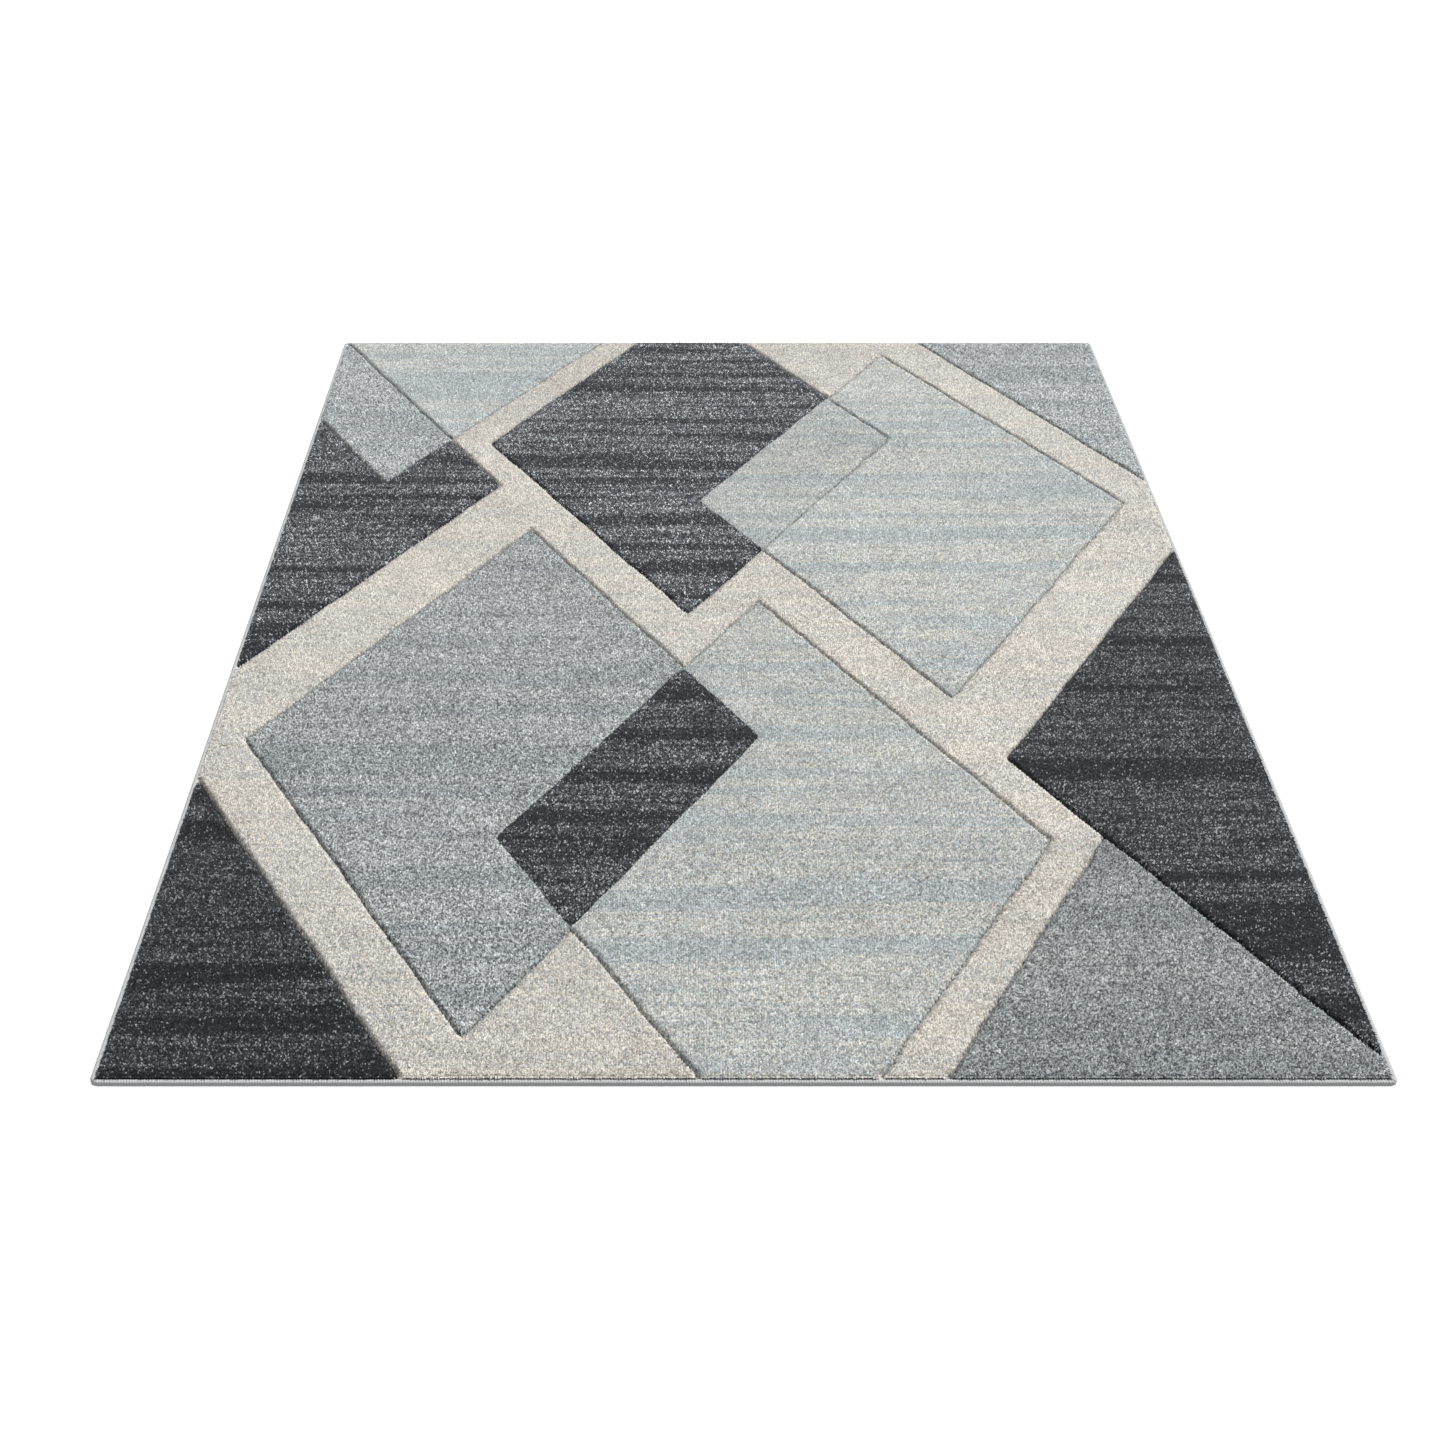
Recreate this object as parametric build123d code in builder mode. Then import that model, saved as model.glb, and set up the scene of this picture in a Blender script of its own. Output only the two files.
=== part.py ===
from build123d import *
from math import cos, hypot, radians, sin, tan
import os

# A machine-woven, carved cut-pile area rug, 160 x 230 cm, lying flat.
# The origin is the middle of the underside: +X right, +Y to the back edge, +Z up.
# The pile stands on a woven ground cloth with a latex coat under it. A cord is laid
# along each edge and serging yarn is wrapped round both. The pile is shorn down in a V
# along every line of the design, which parts it into fields of one colour each.

# Driving dimensions, in millimetres
RUG_WIDTH = 1600.0
RUG_LENGTH = 2300.0
COAT_THICK = 1.0
GROUND_THICK = 2.0
PILE_TALL = 9.5
CARVE = 5.0             # depth of a carved groove, and the width of each of its sides
SPLAY = 2.0             # the same width along the rug's own edges, where the tufts splay
EDGE_WIDE = 9.0         # serged edge, seen from above
EDGE_TALL = 8.0
EDGE_ROUND = 3.7        # rounding of the serged edge on its outer side
EDGE_EASE = 0.8         # rounding of the serged edge on its pile side
CORNER_ROUND = 12.0     # outer corner of the rug, seen from above
WRAP_WALL = 1.5         # serging yarn outside the end of the ground cloth
CORD_RADIUS = 2.0
CORD_SINK = 0.5         # how far the cord's round section is flattened on the cloth
LINE_ANGLE = 60.0       # every line of the design, from the weft

# Worked out from them
GROUND_TOP = COAT_THICK + GROUND_THICK
PILE_X = RUG_WIDTH / 2 - EDGE_WIDE
PILE_Y = RUG_LENGTH / 2 - EDGE_WIDE
PILE_ROUND = CORNER_ROUND - EDGE_WIDE
CORD_HEIGHT = GROUND_TOP + CORD_RADIUS - CORD_SINK

os.makedirs("parts", exist_ok=True)


# The design: straight lines across the whole rug, in two directions. A line is the X
# where it crosses the rug's middle row, and how far it moves in X for each step in Y.
def falling(crossing, angle=LINE_ANGLE):
    """A line that runs from the back left to the front right."""
    return crossing, -1 / tan(radians(angle))


def rising(crossing, angle=LINE_ANGLE):
    """A line that runs from the front left to the back right."""
    return crossing, 1 / tan(radians(angle))


# Counted from the left, where they cross the middle row. A few are a degree or so
# steeper than the rest.
STEEP_ANGLE = 61.0
FALLING = [
    falling(-1081.0),
    falling(-969.0),
    falling(-715.0),
    falling(-359.0),
    falling(-181.0),
    falling(PILE_Y / tan(radians(STEEP_ANGLE)) - PILE_X, STEEP_ANGLE),
    falling(-74.0),
    falling(71.0),
    falling(154.0),
    falling(189.0),
    falling(713.0),
    falling(964.0),
    falling(1061.0, STEEP_ANGLE),
]
RISING = [
    rising(-908.0),
    rising(-807.0, STEEP_ANGLE),
    rising(-684.0),
    rising(-516.0),
    rising(-276.0),
    rising(-58.0),
    rising(34.0),
    rising(267.0),
    rising(509.0),
    rising(669.0),
    rising(826.0),
    rising(882.0, STEEP_ANGLE),
]


def cross(fall, rise):
    """Where falling line number fall meets rising line number rise, counted from 1."""
    start, lean = FALLING[fall - 1]
    other, other_lean = RISING[rise - 1]
    y = (other - start) / (lean - other_lean)
    return start + lean * y, y


def at_row(line, y):
    return line[0] + line[1] * y, y


def at_side(line, x):
    return x, (x - line[0]) / line[1]


def back(line):
    return at_row(line, PILE_Y)


def front(line):
    return at_row(line, -PILE_Y)


def left(line):
    return at_side(line, -PILE_X)


def right(line):
    return at_side(line, PILE_X)


F1, F2, F3, F4, F5, F6, F7, F8, F9, F10, F11, F12, F13 = FALLING
R1, R2, R3, R4, R5, R6, R7, R8, R9, R10, R11, R12 = RISING
BACK_LEFT = (-PILE_X, PILE_Y)
BACK_RIGHT = (PILE_X, PILE_Y)
FRONT_LEFT = (-PILE_X, -PILE_Y)
FRONT_RIGHT = (PILE_X, -PILE_Y)

# Coloured fields of pile, from the back of the rug to its front
COLOUR_FIELDS = {
    "pile_light_back_left": [BACK_LEFT, back(R1), cross(6, 1)],
    "pile_grey_left": [BACK_LEFT, cross(6, 1), cross(4, 1), left(F4)],
    "pile_charcoal_left": [left(F4), cross(4, 1), cross(6, 1), cross(6, 3), left(R3)],
    "pile_charcoal_back": [
        back(R2), back(F11), cross(11, 5), cross(10, 5), cross(10, 6), cross(7, 6), cross(7, 2),
    ],
    "pile_light_overlap": [cross(11, 5), cross(11, 6), cross(10, 6), cross(10, 5)],
    "pile_light_right_diamond": [
        cross(12, 5), cross(12, 9), cross(10, 9), cross(10, 6), cross(11, 6), cross(11, 5),
    ],
    "pile_grey_back_right": [back(F13), BACK_RIGHT, right(F13)],
    "pile_charcoal_right": [right(R10), right(F9), cross(9, 10)],
    "pile_grey_left_diamond": [
        cross(5, 4), cross(5, 7), cross(3, 7), cross(3, 8), cross(2, 8), cross(2, 4),
    ],
    "pile_charcoal_overlap": [cross(5, 7), cross(5, 8), cross(3, 8), cross(3, 7)],
    "pile_light_front_diamond": [
        cross(8, 7), cross(8, 11), front(R11), front(F3), cross(3, 8), cross(5, 8), cross(5, 7),
    ],
    "pile_grey_front_right": [cross(9, 12), right(F9), FRONT_RIGHT, front(R12)],
    "pile_charcoal_front_left": [left(F1), front(F1), FRONT_LEFT],
}

# The cream bands between them, parted where one band meets the next
CREAM_BANDS = {
    "pile_cream_back_triangle": [
        back(F11), (cross(12, 5)[0], PILE_Y), cross(12, 5), cross(11, 5),
    ],
    "pile_cream_back_left_band": [back(R1), back(R2), cross(7, 2), cross(6, 1)],
    "pile_cream_back_right_band": [
        (cross(12, 5)[0], PILE_Y), back(F13), right(F13),
        (PILE_X, cross(12, 9)[1]), cross(12, 9), cross(12, 5),
    ],
    "pile_cream_left_band": [
        cross(6, 3), cross(5, 4), cross(2, 4), (-PILE_X, cross(2, 4)[1]), left(R3),
    ],
    "pile_cream_centre_band": [
        cross(6, 1), cross(7, 2), cross(7, 6), cross(5, 7), cross(5, 4), cross(6, 3),
    ],
    "pile_cream_centre_link": [cross(7, 6), cross(10, 6), cross(8, 7), cross(5, 7)],
    "pile_cream_right_band": [
        cross(10, 9), cross(12, 9), (PILE_X, cross(12, 9)[1]), right(R10), cross(9, 10),
    ],
    "pile_cream_middle_band": [
        cross(10, 6), cross(10, 9), cross(9, 10), cross(9, 12), cross(8, 11), cross(8, 7),
    ],
    "pile_cream_front_left_band": [
        left(F1), (-PILE_X, cross(2, 4)[1]), cross(2, 4), cross(2, 8),
        (cross(2, 8)[0], -PILE_Y), front(F1),
    ],
    "pile_cream_front_triangle": [
        cross(2, 8), cross(3, 8), front(F3), (cross(2, 8)[0], -PILE_Y),
    ],
    "pile_cream_front_right_band": [cross(8, 11), cross(9, 12), front(R12), front(R11)],
}


def sides(points):
    """Each side of an outline, as its start and its end."""
    return list(zip(points, points[1:] + points[:1]))


def middle(side):
    """The middle of a side, rounded so that the same side of two fields is equal."""
    (x0, y0), (x1, y1) = side
    return round((x0 + x1) / 2, 3), round((y0 + y1) / 2, 3)


CREAM_SIDES = [middle(side) for points in CREAM_BANDS.values() for side in sides(points)]


def bevel(side):
    """How far a side leans in over the height of a groove: not at all between bands."""
    x, y = middle(side)
    if CREAM_SIDES.count((x, y)) > 1:
        return 0.0
    if abs(abs(x) - PILE_X) < 0.01 or abs(abs(y) - PILE_Y) < 0.01:
        return SPLAY
    return CARVE


def inset(points):
    """A clockwise outline with each side moved in by its own bevel, for the pile's top."""
    bevels = [bevel(side) for side in sides(points)]
    inward = []
    for (x0, y0), (x1, y1) in sides(points):
        length = hypot(x1 - x0, y1 - y0)
        inward.append(((y1 - y0) / length, (x0 - x1) / length))
    moved = []
    for i, (x, y) in enumerate(points):
        (ax, ay), (bx, by) = inward[i - 1], inward[i]
        turn = ax * by - ay * bx
        step_x = (bevels[i - 1] * by - bevels[i] * ay) / turn
        step_y = (bevels[i] * ax - bevels[i - 1] * bx) / turn
        moved.append((x + step_x, y + step_y))
    return moved


def make_field(name, points):
    """One field of standing pile: full to the foot of the grooves, with shorn sides above."""
    with BuildPart() as field:
        with BuildSketch(Plane.XY.offset(GROUND_TOP)):
            Polygon(*points, align=None)
        extrude(amount=PILE_TALL - CARVE)
        with BuildSketch(Plane.XY.offset(GROUND_TOP + PILE_TALL - CARVE)):
            Polygon(*points, align=None)
        with BuildSketch(Plane.XY.offset(GROUND_TOP + PILE_TALL)):
            Polygon(*inset(points), align=None)
        loft(ruled=True)
        if {BACK_LEFT, BACK_RIGHT, FRONT_LEFT, FRONT_RIGHT} & set(points):
            with BuildSketch(Plane.XY.offset(GROUND_TOP)):
                RectangleRounded(2 * PILE_X, 2 * PILE_Y, PILE_ROUND)
            extrude(amount=PILE_TALL, mode=Mode.INTERSECT)
    field.part.label = name
    export_step(field.part, f"parts/{name}.step")


for field_name, outline in (COLOUR_FIELDS | CREAM_BANDS).items():
    make_field(field_name, outline)

# Ground cloth: it carries the pile and runs out under the edge cords
with BuildPart() as ground_weave:
    with BuildSketch(Plane.XY.offset(COAT_THICK)):
        RectangleRounded(
            RUG_WIDTH - 2 * WRAP_WALL, RUG_LENGTH - 2 * WRAP_WALL, CORNER_ROUND - WRAP_WALL
        )
    extrude(amount=GROUND_THICK)
ground_weave.part.label = "ground_weave"
export_step(ground_weave.part, "parts/ground_weave.step")

# Latex coat: it locks the tufts from below and stops where the serging passes under
with BuildPart() as back_coat:
    with BuildSketch():
        RectangleRounded(2 * PILE_X, 2 * PILE_Y, PILE_ROUND)
    extrude(amount=COAT_THICK)
back_coat.part.label = "back_coat"
export_step(back_coat.part, "parts/back_coat.step")


# The four edges. Each runs clockwise between the middles of two rounded corners.
EDGE_X = RUG_WIDTH / 2 - EDGE_WIDE / 2
EDGE_Y = RUG_LENGTH / 2 - EDGE_WIDE / 2
TURN = CORNER_ROUND - EDGE_WIDE / 2
EDGES = {
    "front": (Vector(EDGE_X, -EDGE_Y), Vector(-EDGE_X, -EDGE_Y), Vector(0, -1)),
    "left": (Vector(-EDGE_X, -EDGE_Y), Vector(-EDGE_X, EDGE_Y), Vector(-1, 0)),
    "back": (Vector(-EDGE_X, EDGE_Y), Vector(EDGE_X, EDGE_Y), Vector(0, 1)),
    "right": (Vector(EDGE_X, EDGE_Y), Vector(EDGE_X, -EDGE_Y), Vector(1, 0)),
}


def turn_point(centre, outward, along, degrees):
    """A point of a corner's arc, degrees round from outward towards along."""
    return centre + outward * (TURN * cos(radians(degrees))) + along * (TURN * sin(radians(degrees)))


def edge_points(start, end, outward):
    """Half a corner, the straight and half a corner: the six points of its path."""
    along = (end - start).normalized()
    first = start + along * TURN - outward * TURN
    last = end - along * TURN - outward * TURN
    opening = [turn_point(first, outward, -along, degrees) for degrees in (45, 22.5, 0)]
    closing = [turn_point(last, outward, along, degrees) for degrees in (0, 22.5, 45)]
    return opening + closing


def past_cord(vertex):
    return vertex.X > 0


for edge_name, (start, end, outward) in EDGES.items():
    points = edge_points(start, end, outward)
    along = (end - start).normalized()
    section_plane = Plane(points[0], x_dir=outward - along, z_dir=outward + along)
    slot_width = EDGE_WIDE - WRAP_WALL
    slot_middle = (-WRAP_WALL / 2, COAT_THICK + GROUND_THICK / 2)

    # Edge cord: a round cord, pressed a little flat where it lies on the cloth
    with BuildPart() as edge_cord:
        with BuildLine() as path:
            ThreePointArc(*points[:3])
            Line(points[2], points[3])
            ThreePointArc(*points[3:])
        with BuildSketch(section_plane):
            with Locations((0, CORD_HEIGHT)):
                Circle(CORD_RADIUS)
            with Locations((0, GROUND_TOP - EDGE_TALL / 2)):
                Rectangle(EDGE_WIDE, EDGE_TALL, mode=Mode.SUBTRACT)
        sweep(path=path.line)
    edge_cord.part.label = f"edge_cord_{edge_name}"
    export_step(edge_cord.part, f"parts/edge_cord_{edge_name}.step")

    # Serged edge: yarn wrapped round the cord and the rim of the ground cloth
    with BuildPart() as serged_edge:
        with BuildLine() as path:
            ThreePointArc(*points[:3])
            Line(points[2], points[3])
            ThreePointArc(*points[3:])
        with BuildSketch(section_plane):
            with BuildSketch(mode=Mode.PRIVATE) as outline:
                with Locations((0, EDGE_TALL / 2)):
                    Rectangle(EDGE_WIDE, EDGE_TALL)
                fillet(outline.vertices().filter_by(past_cord), radius=EDGE_ROUND)
                fillet(outline.vertices().group_by(Axis.X)[0], radius=EDGE_EASE)
            add(outline.sketch)
            with Locations((0, CORD_HEIGHT)):
                Circle(CORD_RADIUS, mode=Mode.SUBTRACT)
            with Locations(slot_middle):
                Rectangle(slot_width, GROUND_THICK, mode=Mode.SUBTRACT)
        sweep(path=path.line)
    serged_edge.part.label = f"serged_edge_{edge_name}"
    export_step(serged_edge.part, f"parts/serged_edge_{edge_name}.step")
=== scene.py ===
import math

import bmesh
import bpy
import numpy as np
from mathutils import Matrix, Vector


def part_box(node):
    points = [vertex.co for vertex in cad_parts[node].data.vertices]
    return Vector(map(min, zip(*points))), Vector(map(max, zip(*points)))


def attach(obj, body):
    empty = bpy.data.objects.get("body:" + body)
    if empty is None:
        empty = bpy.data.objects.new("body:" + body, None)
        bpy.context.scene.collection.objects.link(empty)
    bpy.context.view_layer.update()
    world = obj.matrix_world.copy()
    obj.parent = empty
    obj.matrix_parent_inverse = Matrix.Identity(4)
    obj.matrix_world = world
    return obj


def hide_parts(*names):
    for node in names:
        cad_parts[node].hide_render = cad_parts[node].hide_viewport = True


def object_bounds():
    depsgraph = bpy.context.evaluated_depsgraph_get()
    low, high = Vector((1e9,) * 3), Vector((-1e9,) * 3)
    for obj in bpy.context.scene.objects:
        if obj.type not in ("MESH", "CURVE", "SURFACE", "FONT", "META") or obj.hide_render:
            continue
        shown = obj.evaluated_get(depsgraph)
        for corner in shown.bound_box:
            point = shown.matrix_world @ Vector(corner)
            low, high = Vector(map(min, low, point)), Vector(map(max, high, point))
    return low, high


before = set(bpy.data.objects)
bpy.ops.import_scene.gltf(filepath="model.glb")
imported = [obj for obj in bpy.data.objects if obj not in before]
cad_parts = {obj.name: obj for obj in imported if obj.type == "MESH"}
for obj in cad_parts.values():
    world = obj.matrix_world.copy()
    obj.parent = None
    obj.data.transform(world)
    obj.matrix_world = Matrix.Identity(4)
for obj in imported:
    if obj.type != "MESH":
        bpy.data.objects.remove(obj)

cad_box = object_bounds()
scene = bpy.context.scene


# The studio. A white floor, lit from below as well so that it throws no light of its own
# on the rug, an even white surround, and one broad soft light from the back right. The
# camera stands before the front edge of the rug and looks down.

def look_down(name, data, place, pitch, yaw=0.0):
    """An object at place, turned from looking straight down by pitch, then by yaw, in degrees."""
    thing = bpy.data.objects.new(name, data)
    thing.location = place
    thing.rotation_euler = (math.radians(pitch), 0.0, math.radians(yaw))
    scene.collection.objects.link(thing)
    return thing


CAMERA_PLACE = (-0.0745, -3.0323, 1.7597)
CAMERA_PITCH = 56.895
CAMERA_LENS = 51.79
CAMERA_SHIFT = 0.0274
camera_data = bpy.data.cameras.new("camera")
camera_data.lens = CAMERA_LENS
camera_data.shift_x = CAMERA_SHIFT
scene.camera = look_down("camera", camera_data, CAMERA_PLACE, CAMERA_PITCH)

SURROUND_LIGHT = 0.42
world = bpy.data.worlds.new("surround")
world.use_nodes = True
surround = world.node_tree.nodes["Background"]
surround.inputs["Color"].default_value = (1.0, 1.0, 1.0, 1.0)
seen = world.node_tree.nodes.new("ShaderNodeLightPath")
strength = world.node_tree.nodes.new("ShaderNodeMapRange")
strength.inputs["To Min"].default_value = SURROUND_LIGHT
strength.inputs["To Max"].default_value = 1.0
world.node_tree.links.new(seen.outputs["Is Camera Ray"], strength.inputs["Value"])
world.node_tree.links.new(strength.outputs["Result"], surround.inputs["Strength"])
scene.world = world
scene.view_settings.view_transform = "Standard"

KEY_STRENGTH = 3.85
KEY_SPREAD = 18.0
KEY_PLACE = (2.0, 2.6, 2.6)
KEY_PITCH, KEY_YAW = 50.0, 140.0
key_data = bpy.data.lights.new("key_light", "SUN")
key_data.energy = KEY_STRENGTH
key_data.angle = math.radians(KEY_SPREAD)
look_down("key_light", key_data, KEY_PLACE, KEY_PITCH, KEY_YAW)

FLOOR_HALF = 12.0
FLOOR_DROP = 0.0002
FLOOR_GLOW = 0.7
floor_mesh = bpy.data.meshes.new("floor")
floor_corners = [(-FLOOR_HALF, -FLOOR_HALF), (FLOOR_HALF, -FLOOR_HALF),
                 (FLOOR_HALF, FLOOR_HALF), (-FLOOR_HALF, FLOOR_HALF)]
floor_mesh.from_pydata([(x, y, -FLOOR_DROP) for x, y in floor_corners], [], [(0, 1, 2, 3)])
floor = bpy.data.objects.new("floor", floor_mesh)
scene.collection.objects.link(floor)
floor_paint = bpy.data.materials.new("floor_white")
floor_paint.use_nodes = True
floor_shader = floor_paint.node_tree.nodes["Principled BSDF"]
floor_shader.inputs["Base Color"].default_value = (0.92, 0.92, 0.92, 1.0)
floor_shader.inputs["Roughness"].default_value = 0.9
floor_shader.inputs["Emission Color"].default_value = (1.0, 1.0, 1.0, 1.0)
floor_shader.inputs["Emission Strength"].default_value = FLOOR_GLOW
floor_mesh.materials.append(floor_paint)
floor.visible_diffuse = False


# Latex coat. A brushed film of latex over the back of the cloth, which shows the weft
# as ribs that run across the rug. It locks the tufts and lies on the floor.

def make_piece(name, points, faces, material, values=None, normals=None, flat_map=None):
    """A mesh object at the origin. values holds a number for each point, under its name;
    normals and flat_map hold a direction and a map point for each corner of each face."""
    mesh = bpy.data.meshes.new(name)
    mesh.from_pydata(points, [], faces)
    mesh.materials.append(material)
    mesh.polygons.foreach_set("use_smooth", np.ones(len(mesh.polygons), bool))
    for key, numbers in (values or {}).items():
        layer = mesh.attributes.new(key, "FLOAT", "POINT")
        layer.data.foreach_set("value", np.asarray(numbers, np.float32))
    if flat_map is not None:
        layer = mesh.uv_layers.new(name="OFBake")
        layer.uv.foreach_set("vector", np.asarray(flat_map, np.float32).ravel())
    if normals is not None:
        mesh.normals_split_custom_set(normals)
    mesh.update()
    piece = bpy.data.objects.new(name, mesh)
    scene.collection.objects.link(piece)
    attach(piece, "root")
    return piece


def slab(low, high, columns, rows, lift):
    """A closed slab from corner low to corner high: two grids of columns by rows cells, the
    lower one raised by lift(x, y), joined by walls round the rim. Gives points and faces."""
    x, y = np.meshgrid(np.linspace(low[0], high[0], columns + 1),
                       np.linspace(low[1], high[1], rows + 1))
    under = np.stack([x, y, low[2] + lift(x, y)], -1).reshape(-1, 3)
    over = np.stack([x, y, np.full_like(x, high[2])], -1).reshape(-1, 3)
    at = np.arange(x.size).reshape(x.shape)
    cells = np.stack([at[:-1, :-1], at[:-1, 1:], at[1:, 1:], at[1:, :-1]], -1).reshape(-1, 4)
    rim = np.concatenate([at[0, :-1], at[:-1, -1], at[-1, :0:-1], at[:0:-1, 0]])
    after = np.roll(rim, -1)
    walls = np.stack([rim, after, after + x.size, rim + x.size], -1)
    faces = np.concatenate([cells[:, ::-1], cells + x.size, walls])
    return np.concatenate([under, over]), faces


def new_material(name, roughness, sheen):
    """A matt fabric material, and its Principled shader."""
    material = bpy.data.materials.new(name)
    material.use_nodes = True
    shader = material.node_tree.nodes["Principled BSDF"]
    shader.inputs["Roughness"].default_value = roughness
    shader.inputs["Sheen Weight"].default_value = sheen
    shader.inputs["Sheen Roughness"].default_value = 0.5
    shader.inputs["Specular IOR Level"].default_value = 0.2
    return material, shader


def add_node(tree, kind, inputs=None, **settings):
    """A node of a tree, with its settings, and its inputs set or linked."""
    node = tree.nodes.new(kind)
    for key, value in settings.items():
        setattr(node, key, value)
    for key, value in (inputs or {}).items():
        if isinstance(value, bpy.types.NodeSocket):
            tree.links.new(value, node.inputs[key])
        else:
            node.inputs[key].default_value = value
    return node


def calculate(tree, operation, first, second=None, third=None):
    """The output of a Math node."""
    node = add_node(tree, "ShaderNodeMath", operation=operation)
    for socket, value in zip(node.inputs, (first, second, third)):
        if isinstance(value, bpy.types.NodeSocket):
            tree.links.new(value, socket)
        elif value is not None:
            socket.default_value = value
    return node.outputs[0]


def blend_colours(tree, factor, first, second, mode="MIX"):
    """The output of a Mix node for colours."""
    node = add_node(tree, "ShaderNodeMix", data_type="RGBA", blend_type=mode)
    for socket, value in zip((node.inputs[0], node.inputs[6], node.inputs[7]),
                             (factor, first, second)):
        if isinstance(value, bpy.types.NodeSocket):
            tree.links.new(value, socket)
        else:
            socket.default_value = value
    return node.outputs[2]


def fade(tree, value, low, high, to_low=0.0, to_high=1.0):
    """value carried smoothly from low..high to to_low..to_high."""
    return add_node(tree, "ShaderNodeMapRange", interpolation_type="SMOOTHSTEP", inputs={
        "Value": value, "From Min": low, "From Max": high,
        "To Min": to_low, "To Max": to_high}).outputs["Result"]


def new_group(name, inputs, outputs):
    """A shader node group with named sockets, and its inner input and output nodes."""
    group = bpy.data.node_groups.new(name, "ShaderNodeTree")
    for label, kind, value in inputs:
        socket = group.interface.new_socket(label, in_out="INPUT", socket_type=kind)
        socket.default_value = value
    for label, kind in outputs:
        group.interface.new_socket(label, in_out="OUTPUT", socket_type=kind)
    return group, group.nodes.new("NodeGroupInput"), group.nodes.new("NodeGroupOutput")


def make_weave_group():
    """Plain weave: threads over and under each other, with slubs and stains. The shade colour goes
    in the low parts of the weave, as painted shade, and in the slubs and stains.
    """
    group, given, out = new_group("plain_weave", [
        ("Thread", "NodeSocketColor", (0.5, 0.4, 0.3, 1.0)),
        ("Shade", "NodeSocketColor", (0.3, 0.25, 0.2, 1.0)),
        ("Threads per Metre", "NodeSocketFloat", 400.0),
    ], [("Color", "NodeSocketColor"), ("Height", "NodeSocketFloat")])
    place = add_node(group, "ShaderNodeTexCoord").outputs["Object"]
    split = add_node(group, "ShaderNodeSeparateXYZ", {"Vector": place})
    pace = calculate(group, "MULTIPLY", given.outputs["Threads per Metre"], math.pi)
    warp = calculate(group, "SINE", calculate(group, "MULTIPLY", split.outputs["X"], pace))
    weft = calculate(group, "SINE", calculate(group, "MULTIPLY", split.outputs["Y"], pace))
    height = calculate(group, "MULTIPLY", warp, weft)
    slub = add_node(group, "ShaderNodeTexNoise", {"Vector": place, "Scale": 90.0, "Detail": 4.0})
    # Painted shade in the low parts of the weave, mixed with the slub noise
    mask = calculate(group, "MULTIPLY_ADD", height, 0.25, slub.outputs["Fac"])
    colour = blend_colours(group, fade(group, mask, 0.3, 0.8),
                           given.outputs["Shade"], given.outputs["Thread"])
    group.links.new(colour, out.inputs["Color"])
    group.links.new(height, out.inputs["Height"])
    return group


weave_group = make_weave_group()


def woven_material(name, thread, shade, pitch, roughness, relief):
    """A cloth: its weave group in the base colour, and as relief over a bump."""
    material, shader = new_material(name, roughness, 0.1)
    tree = material.node_tree
    weave = add_node(tree, "ShaderNodeGroup", node_tree=weave_group)
    weave.inputs["Thread"].default_value = thread
    weave.inputs["Shade"].default_value = shade
    weave.inputs["Threads per Metre"].default_value = 1.0 / pitch
    bump = add_node(tree, "ShaderNodeBump", {
        "Strength": 0.6, "Distance": relief, "Height": weave.outputs["Height"]})
    tree.links.new(weave.outputs["Color"], shader.inputs["Base Color"])
    tree.links.new(bump.outputs["Normal"], shader.inputs["Normal"])
    return material


THREAD_PITCH = 0.0031
COAT_RIB_PITCH = 0.006
COAT_RIB_RISE = 0.0004
COAT_COLUMNS = 24
coat_low, coat_high = np.array(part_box("back_coat"))
coat_rows = 2 * round((coat_high[1] - coat_low[1]) / COAT_RIB_PITCH)


def coat_lift(x, y):
    """Ribs across the rug: every second row of points is raised a little, less in places."""
    row = np.round((y - coat_low[1]) / (COAT_RIB_PITCH / 2))
    return COAT_RIB_RISE * (row % 2) * (0.75 + 0.25 * np.sin(11.0 * x + 0.7 * row))


latex = woven_material("latex_coat", (0.46, 0.41, 0.33, 1.0), (0.30, 0.26, 0.20, 1.0),
                       THREAD_PITCH, roughness=0.7, relief=0.0003)
coat_points, coat_faces = slab(coat_low, coat_high, COAT_COLUMNS, coat_rows, coat_lift)
coat = make_piece("latex_back", coat_points, coat_faces, latex)
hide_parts("back_coat")


# Ground cloth. Jute and cotton, woven with the pile on the same loom: it holds the feet
# of the tufts, and its rim runs on into the serged edges.

CLOTH_SAG = 0.00015
CLOTH_RIM = 0.002
CLOTH_COLUMNS, CLOTH_ROWS = 60, 86
cloth_low, cloth_high = np.array(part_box("ground_weave"))


def cloth_lift(x, y):
    """A cloth that isn't quite flat: a slow wave in both directions."""
    return CLOTH_SAG * (1.0 + np.sin(37.0 * x) * np.sin(29.0 * y)) / 2


jute = woven_material("ground_cloth", (0.42, 0.33, 0.21, 1.0), (0.24, 0.18, 0.11, 1.0),
                      THREAD_PITCH, roughness=0.85, relief=0.0006)
cloth_corner = np.array([CLOTH_RIM, CLOTH_RIM, 0.0])
cloth_points, cloth_faces = slab(cloth_low + cloth_corner, cloth_high - cloth_corner,
                                 CLOTH_COLUMNS, CLOTH_ROWS, cloth_lift)
cloth = make_piece("ground_cloth", cloth_points, cloth_faces, jute)
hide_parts("ground_weave")


# Edge cords. A twisted cord laid on the rim of the cloth along each side, quite hidden by
# the serging. The modelled cords stay, with the twist in their material.

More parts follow.
